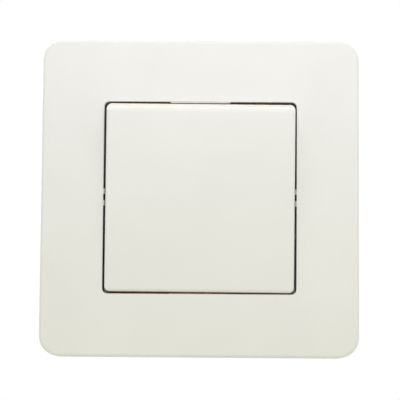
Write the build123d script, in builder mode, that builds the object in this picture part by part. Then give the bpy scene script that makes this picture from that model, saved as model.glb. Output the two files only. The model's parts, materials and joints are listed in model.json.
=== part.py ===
from build123d import *
from math import cos, radians, sin, sqrt, tan
import os

os.makedirs("parts", exist_ok=True)

# Wall light switch with one rocker, for a wall box with screws 60 mm apart.
# Millimetres. X runs to the right, Y into the wall, Z up. The wall surface is Y = 0.
# Heights are counted from the wall: positive to the room, negative into the wall box.

# Cover frame
frame_size = 82.0
frame_depth = 9.5
frame_corner = 5.2
frame_edge = 0.6
frame_wall = 2.0
opening = 49.85
opening_corner = 1.3
opening_edge = 0.1
skirt_wall = 1.5

# Snap hooks of the frame, two above and two below the opening
hook_width = 7.0
hook_place = 13.0
hook_bite = 0.6
hook_play = 0.12
hook_slit = 0.8
hook_tongue = 4.6

# Guide ribs on the walls of the opening
rib_proud = 0.3
rib_sink = 0.15
low_rib_proud = 0.2
low_rib_sink = 0.9
wide_rib = 15.5
wide_rib_length = 0.5
narrow_rib = 1.4
narrow_rib_length = 2.6
narrow_rib_pitch = 3.0

# Rocker: tilt to each side of the middle, in degrees
throw = 4.0
pivot_lift = 0.3
side_gap = 0.6
swing_gap = 0.22
rocker_proud = 2.0
cap_wall = 1.8
cap_round = 2.2
cap_round_low = 0.8
cap_side_round = 0.4
cap_corner = 1.2
cap_skew = 0.3
cap_shift = 0.06
cap_skirt = 0.5

# Legs and seat ribs under the cap
leg_width = 4.0
leg_wall = 1.2
leg_place_x = 9.0
leg_inset = 4.5
leg_barb = 0.5
leg_play = 0.2
seat_height = 0.9
seat_wall = 1.4
seat_length = 26.0
seat_inset = 4.0

# Yoke
yoke_side_gap = 2.5
yoke_end_gap = 5.2
yoke_thickness = 1.7
yoke_corner = 2.0
cheek_wall = 2.2
cheek_half = 2.6
trunnion_radius = 1.5
trunnion_stub = 0.3
tube_radius = 3.3
tube_reach = 7.0

# Plunger and its spring, lengths from the rocker axis towards the contact
plunger_radius = 2.1
plunger_start = 3.0
plunger_taper = 8.6
plunger_reach = 13.2
plunger_tip = 1.2
plunger_flat = 0.2
wire_size = 0.5
coil_count = 3.0
coil_play = 0.15

# Mounting plate
plate_gap = 3.5
plate_thickness = 1.0
plate_corner = 6.0
plate_window_land = 3.0
plate_window_corner = 2.5
screw_pitch = 60.0
slot_length = 8.0
slot_radius = 2.0

# Deck with the bearing ears
deck_thickness = 2.6
deck_corner = 3.0
deck_gap = 1.6
deck_rim = 1.3
deck_undercut = 0.9
ear_wall = 3.0
ear_half = 3.3
ear_over = 2.5
ear_round = 1.2
ear_throat = 2.6
stop_inset = 2.0
stop_wall = 1.6
stop_length = 12.0
stop_play = 0.1

# Housing
base_size = 42.0
base_corner = 5.0
base_depth = 17.5
base_front = 3.0
base_wall = 1.6
chamber_room_x = 0.45
chamber_room_z = 1.5
chamber_wall = 1.8
cell_front = 4.5
base_end_wall = 5.8
cell_split = 1.2

# Rear cover and wire entries
cover_thickness = 4.0
cover_edge = 1.0
wire_radius = 1.45
wire_gap = 0.15
funnel_depth = 0.6
funnel_land = 0.1
funnel_angle = 45.0
gauge_length = 11.0
gauge_width = 1.4
gauge_depth = 0.6

# Contact blade: a shallow V, its lugs ride in the fork of the common strip
blade_thickness = 0.9
blade_half = 3.5
blade_arm = 11.5
blade_flank = 12.0
blade_flank_reach = 3.5
blade_play = 0.1
swing_ratio = 2.0
lug_half = 1.0
contact_arm = 9.5
contact_half = 1.6
contact_height = 0.9
fixed_tip_height = 1.0
contact_crown = 5.0
contact_play = 0.06

# Strips and terminals
strip_thickness = 1.0
strip_width = 4.2
strip_end = 2.6
common_lift = 1.1
common_half = 3.0
fork_wall = 1.0
fork_rise = 1.2
fork_gap = 0.25
fork_notch = 1.7
fork_play = 0.05
terminal_front = 5.2
terminal_half = 3.0

# Clamp springs
leaf_thickness = 0.45
leaf_width = 5.0
leaf_front = 6.2
leaf_set = 4.3
leaf_turn = 2.5
leaf_bend = 0.9
leaf_lean = 5.2

# Release levers
lever_gap = 1.2
lever_width = 3.0
lever_half = 4.3
lever_out = 1.6
lever_travel = 1.2
lever_bar = 2.6
lever_bar_over = 2.0
lever_foot = 0.6
lever_foot_reach = 4.7
lever_slot = 1.0
lever_slot_half = 2.2
lever_slot_depth = 0.8

# Screws
screw_radius = 1.05
screw_head = 2.2
screw_head_height = 1.3
screw_end = 8.0
deck_screw_edge = 3.0
cover_screw_edge = 4.2
cover_screw_end = 10.0
drive_arm = 1.3
drive_wall = 0.5
drive_depth = 0.8

# Clearances
running_play = 0.05
slide_play = 0.1
fit_play = 0.2
thread_play = 0.05
pass_play = 0.3

# Room side: heights above the wall, then lengths from the rocker axis
deck_back = plate_thickness
deck_front = deck_back + deck_thickness
rim_back = deck_front - deck_rim
rim_half = opening / 2 - deck_gap
pivot_height = deck_front + trunnion_radius + pivot_lift
ceiling = frame_depth - frame_wall
cap_face = frame_depth + rocker_proud - pivot_height
cap_inside = cap_face - cap_wall
cap_half = opening / 2 - side_gap
swing_radius = opening / 2 - swing_gap
front_reach = sqrt(swing_radius**2 - cap_face**2)
back_reach = sqrt(swing_radius**2 - cap_skirt**2)
yoke_front = cap_inside - seat_height
yoke_back = yoke_front - yoke_thickness
ear_outer = cap_half - cap_wall - yoke_side_gap - trunnion_stub
ear_inner = ear_outer - ear_wall
yoke_width = 2 * (ear_inner - pass_play)
yoke_height = 2 * (front_reach - cap_wall - yoke_end_gap)
leg_place_z = yoke_height / 2 - leg_inset
stop_place = yoke_height / 2 - stop_inset
tube_window = tube_radius + plunger_reach * sin(radians(throw)) + pass_play
tube_span = (-tube_window, tube_window)

# Fulcrum of the blade: behind the tip of the plunger, through the thickness of the V
tip_centre = plunger_reach - plunger_tip
vertex = tip_centre + (plunger_tip + blade_play) / cos(radians(blade_flank))
fulcrum = vertex - pivot_height + blade_thickness / cos(radians(blade_flank))
arm_back = blade_flank_reach * tan(radians(blade_flank))
blade_swing = throw * swing_ratio

# Where the closed tip of the blade comes to rest, and the strip below it
tip_back = contact_height - arm_back
closed_depth = fulcrum + tip_back * cos(radians(blade_swing)) + contact_arm * sin(radians(blade_swing))
contact_z = contact_arm * cos(radians(blade_swing)) - tip_back * sin(radians(blade_swing))
strip_height = closed_depth + contact_play + fixed_tip_height
common_height = base_depth - common_lift - strip_thickness

# Housing, from the contact chamber outwards and from the outer wall inwards
fork_inner = blade_half + fork_gap
fork_outer = fork_inner + fork_wall
lug_reach = fork_outer - slide_play
chamber_half_x = fork_outer + chamber_room_x
chamber_half_z = blade_arm + chamber_room_z
cell_inner = chamber_half_x + chamber_wall
cell_outer = base_size / 2 - base_wall
cell_end = base_size / 2 - base_end_wall
lever_outer = cell_outer - lever_gap
lever_inner = lever_outer - lever_width
foot_inner = lever_inner - lever_foot
wire_place = foot_inner - wire_gap - wire_radius
terminal_face = wire_place - wire_radius - slide_play
terminal_back = terminal_face - strip_thickness
lever_bar_front = base_depth - lever_bar
lever_foot_front = base_depth - lever_foot_reach
leaf_rear = base_depth - leaf_set
leaf_tip = leaf_rear - leaf_lean

# Plate and screws
plate_size = frame_size - 2 * (frame_wall + plate_gap)
deck_screw_place = base_size / 2 - deck_screw_edge
cover_screw_place = base_size / 2 - cover_screw_edge
plate_window = 2 * (deck_screw_place - plate_window_land)

# Planes. Sketches on the wall plane are seen from the room.
wall = Plane.XZ
side = Plane(origin=(0, 0, 0), x_dir=(0, -1, 0), z_dir=(-1, 0, 0))
tilt = radians(throw)
rocker_normal = (0, -cos(tilt), -sin(tilt))
rocker = Plane(origin=(0, -pivot_height, 0), x_dir=(1, 0, 0), z_dir=rocker_normal)
rocker_side = Plane(origin=(0, -pivot_height, 0), x_dir=rocker_normal, z_dir=(-1, 0, 0))
rocker_axis = Axis((0, -pivot_height, 0), rocker_normal)
skew = radians(cap_skew)
cap_across = rocker.x_dir * cos(skew) - rocker.y_dir * sin(skew)
cap_origin = rocker.from_local_coords((cap_shift, 0, 0))
cap = Plane(origin=cap_origin, x_dir=cap_across, z_dir=rocker_normal)
cap_side = Plane(origin=cap.origin, x_dir=cap.z_dir, z_dir=-cap.x_dir)
cap_top = Plane(origin=cap.origin, x_dir=cap.x_dir, z_dir=cap.y_dir)
swing = radians(blade_swing)
blade_normal = (0, -cos(swing), sin(swing))
blade = Plane(origin=(0, fulcrum, 0), x_dir=(1, 0, 0), z_dir=blade_normal)
blade_side = Plane(origin=(0, fulcrum, 0), x_dir=blade_normal, z_dir=(-1, 0, 0))


def level(height):
    # Plane parallel to the wall at a height above it
    return wall.offset(height)


def plan(sign, z):
    # Horizontal plane whose first axis runs outwards on one side and whose second is the height
    return Plane(origin=(0, 0, z), x_dir=(sign, 0, 0), z_dir=(0, 0, -sign))


def slab(plane, x_range, y_range, amount, mode=Mode.ADD):
    # Rectangular block between two limits each way, raised from a plane
    with BuildSketch(plane) as outline:
        with Locations((sum(x_range) / 2, sum(y_range) / 2)):
            Rectangle(abs(x_range[1] - x_range[0]), abs(y_range[1] - y_range[0]))
    extrude(outline.sketch, amount=amount, mode=mode)


def rounded(plane, size, corner, amount, mode=Mode.ADD):
    # Square block with rounded corners, raised from a plane
    with BuildSketch(plane) as outline:
        RectangleRounded(size, size, corner)
    extrude(outline.sketch, amount=amount, mode=mode)


def rod(plane, x, y, radius, amount, mode=Mode.ADD):
    # Cylinder raised from a plane
    with BuildSketch(plane) as outline:
        with Locations((x, y)):
            Circle(radius)
    extrude(outline.sketch, amount=amount, mode=mode)


corners = [(-1, -1), (-1, 1), (1, -1), (1, 1)]
deck_screw_places = [(-deck_screw_place, deck_screw_place), (deck_screw_place, -deck_screw_place)]

# Cover frame: a shallow dish with a skirt round its opening
with BuildPart() as cover_frame:
    rounded(wall, frame_size, frame_corner, frame_depth)
    fillet(cover_frame.faces().sort_by(Axis.Y)[0].edges(), frame_edge)
    rounded(wall, frame_size - 2 * frame_wall, frame_corner - frame_wall, ceiling, Mode.SUBTRACT)
    rounded(level(deck_back), opening + 2 * skirt_wall, opening_corner + skirt_wall, frame_depth - deck_back)
    rounded(wall, opening, opening_corner, frame_depth, Mode.SUBTRACT)
    lip = cover_frame.faces().sort_by(Axis.Y)[0].inner_wires()[0].edges()
    chamfer(lip, opening_edge)
    # Slits that free the tongues, and a barb on each tongue that grips behind the rim of the deck
    barb_front = rim_back - hook_play
    barb_tip = rim_half - hook_bite
    half = opening / 2
    for a in (-hook_place, hook_place):
        for b in (-1, 1):
            for c in (-1, 1):
                slit = a + c * (hook_width + hook_slit) / 2
                slit_x = (slit - hook_slit / 2, slit + hook_slit / 2)
                slit_z = (b * (half - skirt_wall), b * (half + 2 * skirt_wall))
                slab(level(deck_back), slit_x, slit_z, hook_tongue, Mode.SUBTRACT)
            with BuildSketch(Plane(origin=(a, 0, 0), x_dir=side.x_dir, z_dir=side.z_dir)) as barb:
                with BuildLine():
                    Polyline(
                        (deck_back + hook_play, b * (half + skirt_wall / 2)),
                        (deck_back + hook_play, b * (barb_tip + hook_bite)),
                        (barb_front - hook_bite, b * barb_tip),
                        (barb_front, b * barb_tip),
                        (barb_front, b * (half + skirt_wall / 2)),
                        close=True,
                    )
                make_face()
            extrude(barb.sketch, amount=hook_width / 2, both=True)
    # Guide ribs on the four walls of the opening
    for b, proud, sink in ((1, rib_proud, rib_sink), (-1, low_rib_proud, low_rib_sink)):
        rib = (b * (half - proud), b * (half + skirt_wall / 2))
        slab(level(frame_depth - sink), (-wide_rib / 2, wide_rib / 2), rib, -wide_rib_length)
        rib = (b * (half - rib_proud), b * (half + skirt_wall / 2))
        for c in (-1, 1):
            mid = c * narrow_rib_pitch / 2
            narrow = (mid - narrow_rib / 2, mid + narrow_rib / 2)
            slab(level(frame_depth - rib_sink), rib, narrow, -narrow_rib_length)


def cap_outline(upper_round, lower_round):
    # Side view of the cap: upper and lower walls are arcs about the rocker axis
    with BuildSketch(cap_side) as outline:
        with BuildLine():
            RadiusArc((cap_skirt, back_reach), (cap_face, front_reach), swing_radius)
            Line((cap_face, front_reach), (cap_face, -front_reach))
            RadiusArc((cap_face, -front_reach), (cap_skirt, -back_reach), swing_radius)
            Line((cap_skirt, -back_reach), (cap_skirt, back_reach))
        make_face()
        if upper_round > 0:
            fillet(outline.vertices().group_by(Axis.X)[-1].sort_by(Axis.Y)[-1], upper_round)
        if lower_round > 0:
            fillet(outline.vertices().group_by(Axis.X)[-1].sort_by(Axis.Y)[0], lower_round)
    return outline.sketch


# Rocker cap: the arcs keep the gap to the frame the same through the whole tilt
with BuildPart() as rocker_cap:
    extrude(cap_outline(0, 0), amount=cap_half, both=True)
    fillet(rocker_cap.edges().filter_by(GeomType.CIRCLE), cap_corner)
    rounded_outline = cap_outline(cap_round, cap_round_low)
    extrude(rounded_outline, amount=2 * cap_half, both=True, mode=Mode.INTERSECT)
    with BuildSketch(cap_top) as plan_view:
        with Locations((0, -cap_face / 2)):
            Rectangle(2 * cap_half, cap_face)
        fillet(plan_view.vertices().group_by(Axis.Y)[0], cap_side_round)
    extrude(amount=2 * cap_half, both=True, mode=Mode.INTERSECT)
    # Hollow underside
    with BuildSketch(cap):
        RectangleRounded(2 * (cap_half - cap_wall), 2 * (front_reach - cap_wall), cap_corner)
    extrude(amount=cap_inside, mode=Mode.SUBTRACT)
    # Seat ribs that rest on the yoke, and four barbed legs that go through it
    for b in (-1, 1):
        seat = b * (leg_place_z - seat_inset)
        seat_z = (seat - seat_wall / 2, seat + seat_wall / 2)
        slab(cap.offset(yoke_front), (-seat_length / 2, seat_length / 2), seat_z, seat_height)
    for a, b in corners:
        leg_x = (a * leg_place_x - leg_width / 2, a * leg_place_x + leg_width / 2)
        leg_z = (b * (leg_place_z - leg_wall / 2), b * (leg_place_z + leg_wall / 2))
        leg_end = yoke_back - leg_play - leg_barb
        slab(cap.offset(leg_end), leg_x, leg_z, cap_inside - leg_end)
        barb_z = (b * leg_place_z, b * (leg_place_z + leg_wall / 2 + leg_barb))
        slab(cap.offset(leg_end), leg_x, barb_z, leg_barb)

# Yoke: carries the cap, turns on two trunnions and guides the plunger
with BuildPart() as rocker_yoke:
    with BuildSketch(rocker.offset(yoke_back)):
        RectangleRounded(yoke_width, yoke_height, yoke_corner)
    extrude(amount=yoke_thickness)
    rod(rocker.offset(-tube_reach), 0, 0, tube_radius, tube_reach + yoke_back)
    for a in (-1, 1):
        cheek_x = (a * (yoke_width / 2 - cheek_wall), a * yoke_width / 2)
        slab(rocker.offset(-trunnion_radius), cheek_x, (-cheek_half, cheek_half), trunnion_radius + yoke_back)
        stub = Plane(origin=(a * (yoke_width / 2 - cheek_wall), -pivot_height, 0), z_dir=(a, 0, 0))
        rod(stub, 0, 0, trunnion_radius, ear_outer + trunnion_stub - yoke_width / 2 + cheek_wall)
    bore = plunger_radius + running_play
    rod(rocker.offset(-tube_reach), 0, 0, bore, tube_reach + yoke_back, Mode.SUBTRACT)
    for a, b in corners:
        slot_x = (a * leg_place_x - leg_width / 2 - leg_play, a * leg_place_x + leg_width / 2 + leg_play)
        slot_inner = leg_place_z - leg_wall / 2 - leg_play
        slot_z = (b * slot_inner, b * (leg_place_z + leg_wall / 2 + leg_play))
        slab(rocker.offset(yoke_back), slot_x, slot_z, yoke_thickness, Mode.SUBTRACT)

# Plunger: a round stem that narrows to a ball tip with a small flat
with BuildPart() as plunger:
    with BuildSketch(rocker_side):
        with BuildLine():
            flat_reach = tip_centre + sqrt(plunger_tip**2 - plunger_flat**2)
            Polyline(
                (-flat_reach, plunger_flat),
                (-flat_reach, 0),
                (-plunger_start, 0),
                (-plunger_start, plunger_radius),
                (-plunger_taper, plunger_radius),
                (-tip_centre, plunger_tip),
            )
            RadiusArc((-tip_centre, plunger_tip), (-flat_reach, plunger_flat), -plunger_tip)
        make_face()
    revolve(axis=rocker_axis)

# Coil spring of square wire between the yoke and the plunger
with BuildPart() as plunger_spring:
    coil_radius = plunger_radius + running_play - coil_play - wire_size / 2
    coil_start = -plunger_start + coil_play + wire_size / 2
    coil_length = yoke_back - coil_play - wire_size / 2 - coil_start
    with BuildLine() as coil:
        Helix(
            pitch=coil_length / coil_count,
            height=coil_length,
            radius=coil_radius,
            center=rocker.from_local_coords((0, 0, coil_start)),
            direction=rocker_normal,
        )
    with BuildSketch(Plane(origin=coil.line @ 0, z_dir=coil.line % 0)):
        Rectangle(wire_size, wire_size)
    sweep(path=coil.line, is_frenet=True)

# Mounting plate: steel sheet with slots for the box screws
with BuildPart() as mounting_plate:
    rounded(wall, plate_size, plate_corner, plate_thickness)
    rounded(wall, plate_window, plate_window_corner, plate_thickness, Mode.SUBTRACT)
    with BuildSketch(wall):
        with Locations((-screw_pitch / 2, 0), (screw_pitch / 2, 0)):
            SlotOverall(slot_length, 2 * slot_radius)
        with Locations((0, -screw_pitch / 2), (0, screw_pitch / 2)):
            SlotOverall(slot_length, 2 * slot_radius, rotation=90)
    extrude(amount=plate_thickness, mode=Mode.SUBTRACT)
    for x, z in deck_screw_places:
        rod(wall, x, z, screw_radius + pass_play, plate_thickness, Mode.SUBTRACT)

# Deck: holds the rocker in two open bearing ears and stops it at each end of its tilt
with BuildPart() as mechanism_deck:
    body_size = 2 * (rim_half - deck_undercut)
    rounded(level(deck_back), body_size, deck_corner - deck_undercut, deck_thickness)
    rounded(level(rim_back), 2 * rim_half, deck_corner, deck_rim)
    slab(level(deck_back), tube_span, tube_span, deck_thickness, Mode.SUBTRACT)
    for a in (-1, 1):
        with BuildSketch(Plane(origin=(a * ear_inner, 0, 0), x_dir=side.x_dir, z_dir=(-a, 0, 0))) as ear:
            with Locations(((deck_front + pivot_height + ear_over) / 2, 0)):
                Rectangle(pivot_height + ear_over - deck_front, 2 * ear_half)
            fillet(ear.vertices().group_by(Axis.X)[-1], ear_round)
            with Locations((pivot_height, 0)):
                Circle(trunnion_radius + running_play, mode=Mode.SUBTRACT)
            with Locations((pivot_height + ear_over / 2, 0)):
                Rectangle(ear_over, ear_throat, mode=Mode.SUBTRACT)
        extrude(ear.sketch, amount=-ear_wall)
    for b in (-1, 1):
        reach = stop_place + stop_wall / 2
        stop_top = pivot_height + yoke_back * cos(tilt) - reach * sin(tilt) - stop_play
        stop_z = (b * (stop_place - stop_wall / 2), b * reach)
        slab(level(deck_front), (-stop_length / 2, stop_length / 2), stop_z, stop_top - deck_front)
    for x, z in deck_screw_places:
        rod(level(deck_back), x, z, screw_radius + pass_play, deck_thickness, Mode.SUBTRACT)

# Housing: contact chamber in the middle, terminal cells at its sides, all open to the rear
with BuildPart() as base_housing:
    rounded(level(-base_depth), base_size, base_corner, base_depth)
    collar = plate_window - 2 * fit_play
    rounded(wall, collar, plate_window_corner - fit_play, plate_thickness)
    rear = level(-base_depth)
    chamber_x = (-chamber_half_x, chamber_half_x)
    chamber_z = (-chamber_half_z, chamber_half_z)
    slab(rear, chamber_x, chamber_z, base_depth - base_front, Mode.SUBTRACT)
    slab(rear, tube_span, tube_span, base_depth + plate_thickness, Mode.SUBTRACT)
    cell_length = base_depth - cell_front
    slab(rear, (cell_inner, cell_outer), (-cell_end, cell_end), cell_length, Mode.SUBTRACT)
    for b in (-1, 1):
        slab(rear, (-cell_outer, -cell_inner), (b * cell_split, b * cell_end), cell_length, Mode.SUBTRACT)
        # Slot for the strip of the fixed contact
        slot_z = (b * contact_z - strip_width / 2 - slide_play, b * contact_z + strip_width / 2 + slide_play)
        slab(rear, (-cell_inner, -chamber_half_x), slot_z, base_depth - strip_height, Mode.SUBTRACT)
        cover_pilot = base_depth - cover_screw_end + thread_play
        rod(rear, 0, b * cover_screw_place, screw_radius + thread_play, cover_pilot, Mode.SUBTRACT)
    # Slot for the common strip, and room for the bar of the left lever in the wall between its two cells
    slot_z = (-common_half - slide_play, common_half + slide_play)
    slab(rear, (chamber_half_x, cell_inner), slot_z, base_depth - common_height, Mode.SUBTRACT)
    bar_x = (-cell_outer, -foot_inner + fit_play)
    bar_room = lever_bar + lever_travel + fit_play
    slab(rear, bar_x, (-cell_split, cell_split), bar_room, Mode.SUBTRACT)
    pilot_depth = screw_end + thread_play
    for x, z in deck_screw_places:
        rod(wall, x, z, screw_radius + thread_play, -pilot_depth, Mode.SUBTRACT)

# Rear cover: wire entries, lever slots, a groove to measure the bared wire against,
# and keeper posts that hold the strips in their slots
with BuildPart() as rear_cover:
    rear = level(-base_depth - cover_thickness)
    rounded(rear, base_size, base_corner, cover_thickness)
    chamfer(rear_cover.faces().sort_by(Axis.Y)[-1].edges(), cover_edge)
    post_x = (-cell_inner + slide_play, -chamber_half_x - slide_play)
    post_half = strip_width / 2 - slide_play
    for b in (-1, 1):
        post_z = (b * contact_z - post_half, b * contact_z + post_half)
        slab(level(-base_depth), post_x, post_z, base_depth - strip_height - strip_thickness - running_play)
    post_x = (chamber_half_x + slide_play, cell_inner - slide_play)
    post_z = (-common_half + slide_play, common_half - slide_play)
    slab(level(-base_depth), post_x, post_z, base_depth - common_height - strip_thickness - running_play)
    for a in (-1, 1):
        slot_x = (a * (lever_inner - slide_play), a * (lever_outer + slide_play))
        slot_z = (-lever_half - slide_play, lever_half + slide_play)
        slab(rear, slot_x, slot_z, cover_thickness, Mode.SUBTRACT)
    for b in (-1, 1):
        z = b * cover_screw_place
        rod(rear, 0, z, screw_radius + pass_play, cover_thickness, Mode.SUBTRACT)
        rod(rear, 0, z, screw_head + fit_play, screw_head_height + fit_play, Mode.SUBTRACT)
    # Square funnels that lead the wires into round bores
    funnel_size = 2 * (wire_radius + funnel_land + funnel_depth * tan(radians(funnel_angle)))
    for a, b in corners:
        with BuildSketch(rear) as mouth:
            with Locations((a * wire_place, b * contact_z)):
                Rectangle(funnel_size, funnel_size)
        extrude(mouth.sketch, amount=funnel_depth, taper=funnel_angle, mode=Mode.SUBTRACT)
        rod(rear, a * wire_place, b * contact_z, wire_radius, cover_thickness, Mode.SUBTRACT)
    gauge_x = (-gauge_length / 2, gauge_length / 2)
    slab(rear, gauge_x, (-gauge_width / 2, gauge_width / 2), gauge_depth, Mode.SUBTRACT)

# Contact blade: bent strip with two lugs at its middle
with BuildPart() as moving_contact:
    arm_front = arm_back + blade_thickness
    nose = blade_thickness / cos(radians(blade_flank))
    shoulder = blade_flank_reach + blade_thickness * tan(radians(blade_flank / 2))
    with BuildSketch(blade_side):
        with BuildLine():
            Polyline(
                (0, 0),
                (arm_back, blade_flank_reach),
                (arm_back, blade_arm),
                (arm_front, blade_arm),
                (arm_front, shoulder),
                (nose, 0),
                (arm_front, -shoulder),
                (arm_front, -blade_arm),
                (arm_back, -blade_arm),
                (arm_back, -blade_flank_reach),
                close=True,
            )
        make_face()
    extrude(amount=lug_reach, both=True)
    for a in (-1, 1):
        for b in (-1, 1):
            trim_x = (a * blade_half, a * (lug_reach + slide_play))
            trim_z = (b * lug_half, b * (blade_arm + slide_play))
            slab(blade, trim_x, trim_z, 2 * arm_front, Mode.SUBTRACT)


def crowned_tip(seat, towards, height):
    # Contact tip: a square pad with a crowned face on which the other tip rolls, raised from its seat
    edge = height - contact_crown + sqrt(contact_crown**2 - contact_half**2)
    with BuildSketch(Plane(origin=seat, x_dir=towards, z_dir=(1, 0, 0))) as outline:
        with BuildLine():
            Polyline((edge, -contact_half), (0, -contact_half), (0, contact_half), (edge, contact_half))
            RadiusArc((edge, contact_half), (edge, -contact_half), contact_crown)
        make_face()
    extrude(outline.sketch, amount=contact_half, both=True)


# Tips on the back of the blade, a group of two
with BuildPart() as moving_contact_tips:
    for b in (-1, 1):
        crowned_tip(blade.from_local_coords((0, b * contact_arm, arm_back)), -blade.z_dir, contact_height)


def fixed_tip(sign):
    # Tip on a fixed strip, with its crown towards the blade
    with BuildPart() as tip:
        crowned_tip(Vector(0, strip_height, sign * contact_z), (0, -1, 0), fixed_tip_height)
    return tip


def fixed_strip(sign):
    # Strip under a fixed contact, bent up beside the wire
    mid = sign * contact_z
    with BuildPart() as strip:
        band = (mid - strip_width / 2, mid + strip_width / 2)
        slab(level(-strip_height), (-terminal_face, strip_end), band, -strip_thickness)
        leg = (mid - terminal_half, mid + terminal_half)
        leg_length = strip_height + strip_thickness - terminal_front
        slab(level(-terminal_front), (-terminal_face, -terminal_back), leg, -leg_length)
    return strip


# Common strip: a fork for the blade lugs and one long leg for both common wires
with BuildPart() as common_busbar:
    common_back = common_height + strip_thickness
    slab(level(-common_height), (-fork_outer, terminal_face), (-common_half, common_half), -strip_thickness)
    for a in (-1, 1):
        fork_front = fulcrum - fork_rise
        prong_x = (a * fork_inner, a * fork_outer)
        slab(level(-fork_front), prong_x, (-common_half, common_half), -(common_back - fork_front))
        notch_depth = fork_rise + fork_play
        slab(level(-fork_front), prong_x, (-fork_notch, fork_notch), -notch_depth, Mode.SUBTRACT)
    leg = (-contact_z - terminal_half, contact_z + terminal_half)
    slab(level(-terminal_front), (terminal_back, terminal_face), leg, -(common_back - terminal_front))


def clamp_spring(sign_x, sign_z):
    # Bent leaf: one leg along the outer wall, the other leans against the strip
    with BuildPart() as leaf:
        outer = cell_outer - running_play - leaf_thickness / 2
        tip = terminal_face + running_play + leaf_thickness
        with BuildSketch(plan(sign_x, sign_z * contact_z)):
            with BuildLine():
                FilletPolyline(
                    (outer, -leaf_front),
                    (outer, -leaf_rear),
                    (outer - leaf_turn, -leaf_rear),
                    (tip, -leaf_tip),
                    radius=leaf_bend,
                )
            trace(line_width=leaf_thickness)
        extrude(amount=leaf_width / 2, both=True)
    return leaf


def release_lever(sign):
    # Push button in the rear cover, with a bar that reaches over both wires and a foot for each spring
    with BuildPart() as lever:
        bar_back = base_depth - running_play
        button_back = base_depth + cover_thickness + lever_out
        bar_half = contact_z + lever_bar_over
        across = (sign * lever_inner, sign * lever_outer)
        slab(level(-button_back), across, (-lever_half, lever_half), button_back - bar_back)
        # Slot in the button for the blade of a screwdriver
        middle = (lever_inner + lever_outer) / 2
        slot_x = (sign * (middle - lever_slot / 2), sign * (middle + lever_slot / 2))
        slot_z = (-lever_slot_half, lever_slot_half)
        slab(level(-button_back), slot_x, slot_z, lever_slot_depth, Mode.SUBTRACT)
        slab(level(-bar_back), across, (-bar_half, bar_half), bar_back - lever_bar_front)
        for b in (-1, 1):
            foot_x = (sign * foot_inner, sign * lever_inner)
            foot_z = (b * (contact_z - lever_bar_over), b * bar_half)
            slab(level(-bar_back), foot_x, foot_z, bar_back - lever_foot_front)
    return lever


def screw_group(places, head_plane, point_length):
    # Equal pan-head screws with a cross drive, pointing away from the plane normal
    with BuildPart() as screws:
        for x, z in places:
            rod(head_plane, x, z, screw_head, screw_head_height)
            rod(head_plane, x, z, screw_radius, -point_length)
            drive = head_plane.offset(screw_head_height - drive_depth)
            along = (x - drive_arm, x + drive_arm)
            across = (x - drive_wall / 2, x + drive_wall / 2)
            slab(drive, along, (z - drive_wall / 2, z + drive_wall / 2), drive_depth, Mode.SUBTRACT)
            slab(drive, across, (z - drive_arm, z + drive_arm), drive_depth, Mode.SUBTRACT)
    return screws


deck_screws = screw_group(deck_screw_places, level(deck_front), deck_front + screw_end)
cover_head = base_depth + cover_thickness - screw_head_height - fit_play
cover_plane = Plane(origin=(0, cover_head, 0), x_dir=(1, 0, 0), z_dir=(0, 1, 0))
cover_places = [(0, -cover_screw_place), (0, cover_screw_place)]
cover_screws = screw_group(cover_places, cover_plane, cover_head - cover_screw_end)

pieces = {
    "cover_frame": cover_frame,
    "rocker_cap": rocker_cap,
    "rocker_yoke": rocker_yoke,
    "plunger": plunger,
    "plunger_spring": plunger_spring,
    "mounting_plate": mounting_plate,
    "mechanism_deck": mechanism_deck,
    "base_housing": base_housing,
    "rear_cover": rear_cover,
    "moving_contact": moving_contact,
    "moving_contact_tips": moving_contact_tips,
    "common_busbar": common_busbar,
    "upper_busbar": fixed_strip(1),
    "lower_busbar": fixed_strip(-1),
    "upper_contact_tip": fixed_tip(1),
    "lower_contact_tip": fixed_tip(-1),
    "upper_clamp_spring": clamp_spring(-1, 1),
    "lower_clamp_spring": clamp_spring(-1, -1),
    "common_clamp_spring_upper": clamp_spring(1, 1),
    "common_clamp_spring_lower": clamp_spring(1, -1),
    "release_lever_left": release_lever(-1),
    "release_lever_right": release_lever(1),
    "deck_screws": deck_screws,
    "cover_screws": cover_screws,
}
for label, piece in pieces.items():
    piece.part.label = label
    export_step(piece.part, f"parts/{label}.step")
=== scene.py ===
import json
import math

import bmesh
import bpy
from mathutils import Matrix, Vector


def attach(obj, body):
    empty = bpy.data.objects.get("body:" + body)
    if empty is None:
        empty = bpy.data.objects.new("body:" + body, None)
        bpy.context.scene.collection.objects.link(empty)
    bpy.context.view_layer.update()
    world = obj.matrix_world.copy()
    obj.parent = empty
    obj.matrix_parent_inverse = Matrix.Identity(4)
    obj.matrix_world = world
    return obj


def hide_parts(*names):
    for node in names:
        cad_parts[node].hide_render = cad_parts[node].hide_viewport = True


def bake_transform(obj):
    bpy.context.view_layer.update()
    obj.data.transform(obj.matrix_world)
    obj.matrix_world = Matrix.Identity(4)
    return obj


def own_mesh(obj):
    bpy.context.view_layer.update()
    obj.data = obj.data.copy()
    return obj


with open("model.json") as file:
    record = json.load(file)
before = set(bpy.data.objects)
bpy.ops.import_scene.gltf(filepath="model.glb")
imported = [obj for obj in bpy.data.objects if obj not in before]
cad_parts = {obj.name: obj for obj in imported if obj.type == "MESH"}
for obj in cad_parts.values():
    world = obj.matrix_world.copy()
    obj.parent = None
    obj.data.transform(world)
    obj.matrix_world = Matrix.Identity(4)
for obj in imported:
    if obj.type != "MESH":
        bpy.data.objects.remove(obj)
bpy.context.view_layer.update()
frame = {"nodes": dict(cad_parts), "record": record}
nodes = frame["nodes"]
scene = bpy.context.scene
scene.view_settings.view_transform = "Standard"


# Colours
def rgb(red, green, blue):
    # Colour as seen on a screen, to the linear values that a shader takes
    def linear(c):
        return c / 12.92 if c <= 0.04045 else ((c + 0.055) / 1.055) ** 2.4

    return (linear(red), linear(green), linear(blue), 1.0)


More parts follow.
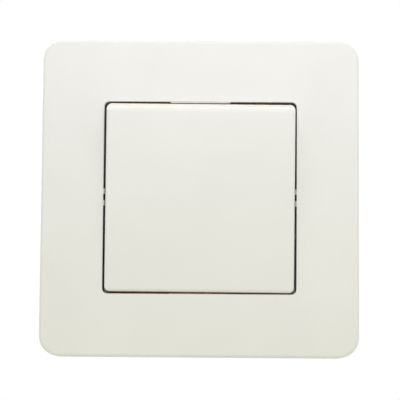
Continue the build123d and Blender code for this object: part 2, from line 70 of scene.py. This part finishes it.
def shade(colour, factor):
    # The same colour, darker or paler
    return tuple(min(1.0, factor * c) for c in colour[:3]) + (1.0,)


# Node helpers
def start(name):
    # New material: returns it with its tree, its Principled shader and its coordinates in metres
    material = bpy.data.materials.new(name)
    material.use_nodes = True
    tree = material.node_tree
    tree.nodes.clear()
    output = tree.nodes.new("ShaderNodeOutputMaterial")
    shader = tree.nodes.new("ShaderNodeBsdfPrincipled")
    tree.links.new(shader.outputs["BSDF"], output.inputs["Surface"])
    place = tree.nodes.new("ShaderNodeTexCoord").outputs["Object"]
    return material, tree, shader, place


def put(tree, socket, value):
    # A socket takes a link or a plain value
    if isinstance(value, bpy.types.NodeSocket):
        tree.links.new(value, socket)
    else:
        socket.default_value = value


def add(tree, kind, result, settings=None, **inputs):
    # New node with its settings and inputs: returns one of its outputs
    made = tree.nodes.new(kind)
    for key, value in (settings or {}).items():
        setattr(made, key, value)
    for key, value in inputs.items():
        put(tree, made.inputs[key], value)
    return made.outputs[result]


def vector_math(tree, operation, a, b, result="Vector"):
    made = tree.nodes.new("ShaderNodeVectorMath")
    made.operation = operation
    put(tree, made.inputs[0], a)
    put(tree, made.inputs[1], b)
    return made.outputs[result]


def math_node(tree, operation, a, b):
    # The result is held between 0 and 1
    made = tree.nodes.new("ShaderNodeMath")
    made.operation = operation
    made.use_clamp = True
    put(tree, made.inputs[0], a)
    put(tree, made.inputs[1], b)
    return made.outputs["Value"]


def remap(tree, value, low, high, to_low=0.0, to_high=1.0):
    made = tree.nodes.new("ShaderNodeMapRange")
    put(tree, made.inputs["Value"], value)
    ends = {"From Min": low, "From Max": high, "To Min": to_low, "To Max": to_high}
    for key, number in ends.items():
        made.inputs[key].default_value = number
    return made.outputs["Result"]


def mix(tree, factor, a, b, way="MIX"):
    # Colours a and b: the sockets of this node are numbered by the kind of data
    made = tree.nodes.new("ShaderNodeMix")
    made.data_type = "RGBA"
    made.blend_type = way
    put(tree, made.inputs[0], factor)
    put(tree, made.inputs[6], a)
    put(tree, made.inputs[7], b)
    return made.outputs[2]


def noise(tree, place, waves, detail=3.0, stretch=None):
    # Noise between 0 and 1, in waves per metre, wider where a stretch is below 1
    if stretch:
        place = vector_math(tree, "MULTIPLY", place, stretch)
    return add(tree, "ShaderNodeTexNoise", "Fac", Vector=place, Scale=waves, Detail=detail)


edge_range = (0.995, 0.9)
bevel_samples = 6
bump_strength = 0.3


def edges(tree, radius):
    # Normal that is rounded over sharp edges, and a mask that is 1 along them and 0 on flat faces
    soft = add(tree, "ShaderNodeBevel", "Normal", {"samples": bevel_samples}, Radius=radius)
    true = add(tree, "ShaderNodeNewGeometry", "Normal")
    match = vector_math(tree, "DOT_PRODUCT", soft, true, "Value")
    return soft, remap(tree, match, *edge_range)


def bump(tree, shader, normal, layers):
    # Layers of relief on a normal, each with its height in metres
    for relief, height in layers:
        inputs = {"Strength": bump_strength, "Distance": height, "Height": relief, "Normal": normal}
        normal = add(tree, "ShaderNodeBump", "Normal", **inputs)
    tree.links.new(normal, shader.inputs["Normal"])


# Plastic: patterns in waves per metre, lengths in metres, shades as a share of the colour.
# A range has the values between which something sets in, then the least and the most of it.
plastic_edge = 0.0003
rubbed_share = 0.5
rubbed_shade = 1.04
cloud_waves = 55.0
cloud_range = (0.3, 0.7)
cloud_shade = 0.97
speck_waves = 1400.0
speck_range = (0.62, 0.78, 0.0, 0.4)
speck_shade = 0.95
gloss_waves = 320.0
gloss_range = (0.25, 0.75)
gloss_swing = 0.05
wipe_waves = 900.0
wipe_stretch = (0.12, 1.0, 1.0)
wipe_range = (0.5, 0.8, 0.0, 0.06)
touch_range = (1.0, 0.2)
touch_share = 0.35
touch_shade = 0.97
touch_dull = 0.05
painted_warm_range = (0.041, -0.041)
dust_and_shade_samples = 8
dust_and_shade_range = (0.55, 0.25, 0.0, 0.95)
dust_dull = 0.45
patch_waves = 160.0
patch_range = (0.3, 0.7, 0.7, 1.0)
ledge_range = (0.1, 0.6)
sink_waves = 60.0
sink_height = 0.00005
grain_waves = 4200.0


def plastic(name, colour, rough, grain, dust_and_shade=None, dust_and_shade_reach=0.0012, touch=None, painted_warm_below=None):
    # Moulded plastic: faint clouds and specks of colour, fine grain, paler rubbed edges and
    # wiped-over gloss. Dull dust and painted shade lie in the narrow places, one colour on ledges
    # and a dark one on walls.
    # A touched spot is a little darker and duller. A painted warm tint of bounce light grows more
    # and more downwards.
    material, tree, shader, place = start(name)
    soft, edge = edges(tree, plastic_edge)
    cloud = remap(tree, noise(tree, place, cloud_waves, detail=2.0), *cloud_range)
    speck = remap(tree, noise(tree, place, speck_waves, detail=2.0), *speck_range)
    base = mix(tree, cloud, colour, shade(colour, cloud_shade))
    base = mix(tree, speck, base, shade(colour, speck_shade))
    rubbed = math_node(tree, "MULTIPLY", edge, rubbed_share)
    base = mix(tree, rubbed, base, shade(colour, rubbed_shade))
    wipe = noise(tree, place, wipe_waves, stretch=wipe_stretch)
    gloss = noise(tree, place, gloss_waves)
    gloss = remap(tree, gloss, *gloss_range, rough - gloss_swing, rough + gloss_swing)
    gloss = math_node(tree, "ADD", gloss, remap(tree, wipe, *wipe_range))
    if touch:
        middle, reach = touch
        away = vector_math(tree, "SUBTRACT", place, middle)
        away = vector_math(tree, "DIVIDE", away, reach)
        worn = remap(tree, vector_math(tree, "LENGTH", away, away, "Value"), *touch_range)
        darker = math_node(tree, "MULTIPLY", worn, touch_share)
        base = mix(tree, darker, base, shade(colour, touch_shade))
        gloss = math_node(tree, "ADD", gloss, math_node(tree, "MULTIPLY", worn, touch_dull))
    # Painted warm bounce light from below: the colour grows warmer towards the bottom
    if painted_warm_below:
        height = add(tree, "ShaderNodeSeparateXYZ", "Z", Vector=place)
        base = mix(tree, remap(tree, height, *painted_warm_range), base, painted_warm_below, "MULTIPLY")
    # Painted shade mixed with dust: the colour darkens where little light reaches, in narrow places
    # and gaps
    if dust_and_shade:
        ledge_dust_and_shade, wall_dust_and_shade = dust_and_shade
        settings = {"samples": dust_and_shade_samples}
        open_air = add(tree, "ShaderNodeAmbientOcclusion", "AO", settings, Distance=dust_and_shade_reach)
        dust_and_shade_amount = remap(tree, open_air, *dust_and_shade_range)
        patchy = remap(tree, noise(tree, place, patch_waves), *patch_range)
        dust_and_shade_amount = math_node(tree, "MULTIPLY", dust_and_shade_amount, patchy)
        normal = add(tree, "ShaderNodeNewGeometry", "Normal")
        upward = add(tree, "ShaderNodeSeparateXYZ", "Z", Vector=normal)
        ledge = remap(tree, math_node(tree, "MULTIPLY", upward, upward), *ledge_range)
        base = mix(tree, dust_and_shade_amount, base, mix(tree, ledge, wall_dust_and_shade, ledge_dust_and_shade))
        gloss = math_node(tree, "ADD", gloss, math_node(tree, "MULTIPLY", dust_and_shade_amount, dust_dull))
    tree.links.new(base, shader.inputs["Base Color"])
    tree.links.new(gloss, shader.inputs["Roughness"])
    sink = noise(tree, place, sink_waves, detail=1.0)
    fine = noise(tree, place, grain_waves, detail=2.0)
    bump(tree, shader, soft, [(sink, sink_height), (fine, grain)])
    return material


# Metal, in the same units
metal_edge = 0.00015
bright_share = 0.6
bright_shade = 1.1
streak_waves = 260.0
streak_range = (0.25, 0.75)
streak_shade = 0.86
streak_height = 0.00002
tarnish_waves = 140.0
tarnish_range = (0.42, 0.72)
tarnish_dull = 0.25
polish_range = (0.2, 0.8)
polish_below = 0.07
polish_above = 0.1
scratch_waves = 2600.0


def metal(name, colour, tarnish, amount, rough, stretch, scratch):
    # Rolled or drawn metal: streaks along one way, tarnish in clouds and bright edges
    material, tree, shader, place = start(name)
    soft, edge = edges(tree, metal_edge)
    streak = noise(tree, place, streak_waves, detail=4.0, stretch=stretch)
    cloud = noise(tree, place, tarnish_waves, detail=4.0)
    cloud = remap(tree, cloud, *tarnish_range, 0.0, amount)
    base = mix(tree, remap(tree, streak, *streak_range), colour, shade(colour, streak_shade))
    base = mix(tree, cloud, base, tarnish)
    bright = math_node(tree, "MULTIPLY", edge, bright_share)
    base = mix(tree, bright, base, shade(colour, bright_shade))
    tree.links.new(base, shader.inputs["Base Color"])
    shader.inputs["Metallic"].default_value = 1.0
    gloss = remap(tree, streak, *polish_range, rough - polish_below, rough + polish_above)
    gloss = math_node(tree, "ADD", gloss, math_node(tree, "MULTIPLY", cloud, tarnish_dull))
    tree.links.new(gloss, shader.inputs["Roughness"])
    fine = noise(tree, place, scratch_waves, detail=2.0, stretch=stretch)
    bump(tree, shader, soft, [(streak, streak_height), (fine, scratch)])
    return material


# Finishes by material slot. Dust and painted shade have their colour on ledges, then on walls.
# Dust mixed with painted shade of the gaps and crevices: ledge colour, then the dark wall colour
brown_dust_and_shade = (rgb(0.74, 0.55, 0.34), rgb(0.14, 0.12, 0.08))
grey_dust_and_shade = (rgb(0.24, 0.23, 0.21), rgb(0.2, 0.2, 0.19))
orange_dust_and_shade = (rgb(0.25, 0.12, 0.05), rgb(0.2, 0.1, 0.05))
cream = rgb(0.925, 0.922, 0.902)
# The same cream, painted a touch paler to make up for the shade on the rocker's downward-tilted
# face
rocker_cream_painted_paler = rgb(0.927, 0.923, 0.902)
# Tint of painted warm bounce light, full at the bottom of the front
painted_warm_tint = (1.0, 1.0, 0.935, 1.0)
finger_spot = ((0.0, 0.0, -0.013), (0.017, 0.03, 0.011))
upright = (1.0, 1.0, 0.11)
crosswise = (0.17, 1.0, 1.0)
plastics = {
    "cream_plastic": dict(
        colour=cream, rough=0.42, grain=0.00001, dust_and_shade=brown_dust_and_shade, painted_warm_below=painted_warm_tint
    ),
    "cream_plastic_rocker": dict(
        colour=rocker_cream_painted_paler, rough=0.36, grain=0.000008, dust_and_shade=brown_dust_and_shade, touch=finger_spot,
        painted_warm_below=painted_warm_tint
    ),
    "dark_plastic": dict(colour=rgb(0.17, 0.16, 0.15), rough=0.5, grain=0.00002),
    "white_plastic": dict(colour=rgb(0.87, 0.87, 0.85), rough=0.4, grain=0.00001),
    "grey_plastic": dict(
        colour=rgb(0.63, 0.64, 0.64), rough=0.5, grain=0.00003, dust_and_shade=grey_dust_and_shade, dust_and_shade_reach=0.002
    ),
    "lever_plastic": dict(
        colour=rgb(0.86, 0.4, 0.12), rough=0.42, grain=0.00002, dust_and_shade=orange_dust_and_shade
    ),
}
metals = {
    "zinc_steel": dict(
        colour=rgb(0.78, 0.79, 0.8), tarnish=rgb(0.6, 0.62, 0.63), amount=0.5, rough=0.36,
        stretch=upright, scratch=0.00001
    ),
    "spring_steel": dict(
        colour=rgb(0.7, 0.7, 0.69), tarnish=rgb(0.5, 0.47, 0.43), amount=0.4, rough=0.26,
        stretch=crosswise, scratch=0.000006
    ),
    "brass": dict(
        colour=rgb(0.83, 0.66, 0.36), tarnish=rgb(0.55, 0.38, 0.18), amount=0.5, rough=0.3,
        stretch=crosswise, scratch=0.000008
    ),
    "silver": dict(
        colour=rgb(0.91, 0.9, 0.88), tarnish=rgb(0.62, 0.58, 0.52), amount=0.5, rough=0.28,
        stretch=None, scratch=0.000006
    ),
}
looks = {name: plastic(name, **finish) for name, finish in plastics.items()}
looks.update({name: metal(name, **finish) for name, finish in metals.items()})
for part in frame["record"]["subparts"]:
    mesh = nodes[part["node"]].data
    mesh.materials.clear()
    mesh.materials.append(looks[part["material_slot"]])

# Springs drawn in place of the stiff ones, where the plunger and the release levers push
sharp_angle = math.radians(40.0)


def rounded(corners, radius, steps):
    # Path through corners, with an arc at each inner one
    path = [corners[0]]
    for before, corner, after in zip(corners, corners[1:], corners[2:]):
        arriving, leaving = (before - corner).normalized(), (after - corner).normalized()
        half = arriving.angle(leaving) / 2
        middle = corner + (arriving + leaving).normalized() * radius / math.sin(half)
        reach = radius / math.tan(half)
        first, last = corner + arriving * reach - middle, corner + leaving * reach - middle
        path += [middle + radius * first.slerp(last, i / steps) for i in range(steps + 1)]
    return path + [corners[-1]]


def bar(name, path, sides, profile):
    # Closed bar of spring steel along a path. At each point, the profile is measured along a side
    # vector and square to it.
    points = []
    for i, place in enumerate(path):
        along = path[min(i + 1, len(path) - 1)] - path[max(i - 1, 0)]
        square = along.cross(sides[i]).normalized()
        points += [place + a * sides[i] + b * square for a, b in profile]
    count = len(profile)
    last = len(points) - count
    faces = [tuple(range(count - 1, -1, -1)), tuple(range(last, len(points)))]
    for ring in range(0, last, count):
        for j in range(count):
            k = (j + 1) % count
            faces.append((ring + j, ring + k, ring + count + k, ring + count + j))
    mesh = bpy.data.meshes.new(name)
    mesh.from_pydata(points, [], faces)
    shell = bmesh.new()
    shell.from_mesh(mesh)
    bmesh.ops.recalc_face_normals(shell, faces=shell.faces)
    shell.to_mesh(mesh)
    shell.free()
    mesh.shade_smooth()
    mesh.set_sharp_from_angle(angle=sharp_angle)
    mesh.materials.append(looks["spring_steel"])
    made = bpy.data.objects.new(name, mesh)
    scene.collection.objects.link(made)
    return made


# Coil of round wire behind the plunger, with a closed turn at each end. Lengths run outward from
# the tilt axis of the rocker.
rocker_tilt = math.radians(4.0)
pivot = Vector((0.0, -0.0054, 0.0))
outward = Vector((0.0, -math.cos(rocker_tilt), -math.sin(rocker_tilt)))
sideways = Vector((1.0, 0.0, 0.0))
upwards = outward.cross(sideways)
coil_radius = 0.00175
coil_wire = 0.00025
coil_low = -0.0026
coil_high = 0.0013
coil_open_turns = 3
coil_closed_rise = 0.00052
turn_steps = 20
wire_sides = 10
open_rise = (coil_high - coil_low - 2 * coil_closed_rise) / coil_open_turns
coil_path, coil_sides = [], []
for i in range((coil_open_turns + 2) * turn_steps + 1):
    done = i / turn_steps
    opened = min(max(done - 1, 0), coil_open_turns)
    rise = opened * open_rise + (done - opened) * coil_closed_rise
    angle = 2 * math.pi * done
    radial = sideways * math.cos(angle) + upwards * math.sin(angle)
    coil_path.append(pivot + outward * (coil_low + rise) + radial * coil_radius)
    coil_sides.append(radial)
wire_angles = [2 * math.pi * i / wire_sides for i in range(wire_sides)]
wire = [(coil_wire * math.cos(a), coil_wire * math.sin(a)) for a in wire_angles]
coil = bar("plunger_coil", coil_path, coil_sides, wire)
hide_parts("plunger_spring")
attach(coil, "rocker")
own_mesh(coil)

# Bent leaves of the terminals, each with an outer leg and a leaning leg that the lever pushes on.
# Places along x and z are from the middle of the switch, those along y from the wall.
leaf_outer = 0.019125
leaf_inner = 0.016625
leaf_tip = 0.01195
leaf_front = 0.0062
leaf_rear = 0.0132
leaf_end = 0.008
leaf_place = 0.0093858
leaf_bend = 0.0009
leaf_half = 0.0025
leaf_skin = 0.000225
leaf_edge = 0.00007
bend_steps = 8
lean_steps = 12
leaf_width_axis = Vector((0.0, 0.0, 1.0))
leaf_corners = [
    (leaf_outer, leaf_front),
    (leaf_outer, leaf_rear),
    (leaf_inner, leaf_rear),
    (leaf_tip, leaf_end),
]
strip = [
    (leaf_half - leaf_edge, leaf_skin),
    (leaf_half, leaf_skin - leaf_edge),
    (leaf_half, leaf_edge - leaf_skin),
    (leaf_half - leaf_edge, -leaf_skin),
]
strip += [(-a, -b) for a, b in strip]
leaves = {
    "upper_clamp_spring": (-1, 1, "release_left"),
    "lower_clamp_spring": (-1, -1, "release_left"),
    "common_clamp_spring_upper": (1, 1, "release_right"),
    "common_clamp_spring_lower": (1, -1, "release_right"),
}
for name, (x, z, lever) in leaves.items():
    corners = [Vector((x * out, depth, z * leaf_place)) for out, depth in leaf_corners]
    path = rounded(corners, leaf_bend, bend_steps)
    tip = path.pop()
    root = path[-1]
    path += [root.lerp(tip, i / lean_steps) for i in range(1, lean_steps + 1)]
    leaf = bar(name + "_leaf", path, [leaf_width_axis] * len(path), strip)
    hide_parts(name)
    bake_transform(leaf)

# Camera: straight on, a little from below, with a slight roll. The focal length is in pixels.
distance = 0.46838
pitch = math.radians(6.214)
yaw = math.radians(0.831)
roll = math.radians(0.439)
target = Vector((0.0000465, -0.0095, -0.0006733))
image_size = 400.0
focal_length = 1815.96
near_clip = 0.01
level = math.cos(pitch)
back = Vector((math.sin(yaw) * level, -math.cos(yaw) * level, -math.sin(pitch)))
right = (-back).cross(Vector((0.0, 0.0, 1.0))).normalized()
up = right.cross(-back)
across = right * math.cos(roll) + up * math.sin(roll)
upward = up * math.cos(roll) - right * math.sin(roll)
lens = bpy.data.cameras.new("camera")
lens.lens = focal_length * lens.sensor_width / image_size
lens.clip_start = near_clip
camera = bpy.data.objects.new("camera", lens)
turn = Matrix((across, upward, back)).transposed().to_4x4()
camera.matrix_world = Matrix.Translation(target + distance * back) @ turn
scene.collection.objects.link(camera)
scene.camera = camera


# Light: a soft lamp close above, wide ones in front and behind, and a dome that is brightest
# below and to the sides
def lamp(name, place, size, power, colour):
    # Soft rectangular lamp that looks at the middle of the object
    light = bpy.data.lights.new(name, "AREA")
    light.shape = "RECTANGLE"
    light.size, light.size_y = size
    light.energy = power
    light.color = colour
    made = bpy.data.objects.new(name, light)
    made.location = place
    made.rotation_euler = (-Vector(place)).to_track_quat("-Z", "Y").to_euler()
    made.visible_camera = False
    scene.collection.objects.link(made)


lamps = {
    "key": dict(
        place=(0.004, -0.09, 0.19), size=(0.2, 0.08), power=0.199, colour=(0.955, 0.935, 1.0)
    ),
    "front": dict(
        place=(0.06, -0.5, 0.12), size=(0.4, 0.4), power=0.904, colour=(0.981, 0.965, 1.0)
    ),
    "rear": dict(
        place=(-0.12, 0.5, 0.22), size=(0.4, 0.4), power=1.15, colour=(1.0, 1.0, 1.0)
    ),
}
for name, settings in lamps.items():
    lamp(name, **settings)

# World: plain white where it is seen, the dome for light
sky_colour = (0.076, 0.078, 0.062, 1.0)
ground_colour = (0.742, 0.759, 0.726, 1.0)
side_colour = (0.8, 0.8, 0.8, 1.0)
white = (1.0, 1.0, 1.0, 1.0)
world = bpy.data.worlds.new("world")
scene.world = world
world.use_nodes = True
sky = world.node_tree
sky.nodes.clear()
ray = sky.nodes.new("ShaderNodeLightPath").outputs
seen = math_node(sky, "MAXIMUM", ray["Is Camera Ray"], ray["Is Glossy Ray"])
seen = math_node(sky, "MAXIMUM", seen, ray["Is Transmission Ray"])
facing = add(sky, "ShaderNodeTexCoord", "Generated")
slope = add(sky, "ShaderNodeSeparateXYZ", "Z", Vector=facing)
dome = mix(sky, remap(sky, slope, -1.0, 1.0), ground_colour, sky_colour)
aside = add(sky, "ShaderNodeSeparateXYZ", "X", Vector=facing)
aside = math_node(sky, "MULTIPLY", aside, aside)
dome = mix(sky, math_node(sky, "MULTIPLY", aside, aside), dome, side_colour, "ADD")
lit = add(sky, "ShaderNodeBackground", "Background", Color=dome, Strength=1.0)
plain = add(sky, "ShaderNodeBackground", "Background", Color=white, Strength=1.0)
chosen = sky.nodes.new("ShaderNodeMixShader")
put(sky, chosen.inputs[0], seen)
put(sky, chosen.inputs[1], lit)
put(sky, chosen.inputs[2], plain)
output = sky.nodes.new("ShaderNodeOutputWorld")
sky.links.new(chosen.outputs["Shader"], output.inputs["Surface"])

# Floor: a pale disc that fades out into the white. It takes the shadow and throws no light back.
floor_height = -0.06
floor_reach = 0.45
floor_sides = 96
floor_tones = (rgb(0.95, 0.945, 0.935), rgb(0.96, 0.955, 0.945))
floor_waves = 300.0
floor_rough = 0.8
floor_fade = 0.35
fade_start = 0.1
fade_end = 0.42
turns = [2 * math.pi * a / floor_sides for a in range(floor_sides)]
rim = [(floor_reach * math.cos(a), floor_reach * math.sin(a), floor_height) for a in turns]
sheet = bpy.data.meshes.new("floor")
sheet.from_pydata(rim, [], [tuple(range(floor_sides))])
floor = bpy.data.objects.new("floor", sheet)
scene.collection.objects.link(floor)
floor.visible_diffuse = False
floor.visible_shadow = False
paper, tree, shader, place = start("floor")
tone = mix(tree, noise(tree, place, floor_waves), *floor_tones)
tree.links.new(tone, shader.inputs["Base Color"])
shader.inputs["Roughness"].default_value = floor_rough
radius = vector_math(tree, "LENGTH", place, place, "Value")
fading = tree.nodes.new("ShaderNodeMixShader")
put(tree, fading.inputs[0], remap(tree, radius, fade_start, fade_end, floor_fade, 1.0))
put(tree, fading.inputs[1], shader.outputs["BSDF"])
put(tree, fading.inputs[2], add(tree, "ShaderNodeBsdfTransparent", "BSDF"))
tree.links.new(fading.outputs["Shader"], tree.nodes["Material Output"].inputs["Surface"])
sheet.materials.append(paper)
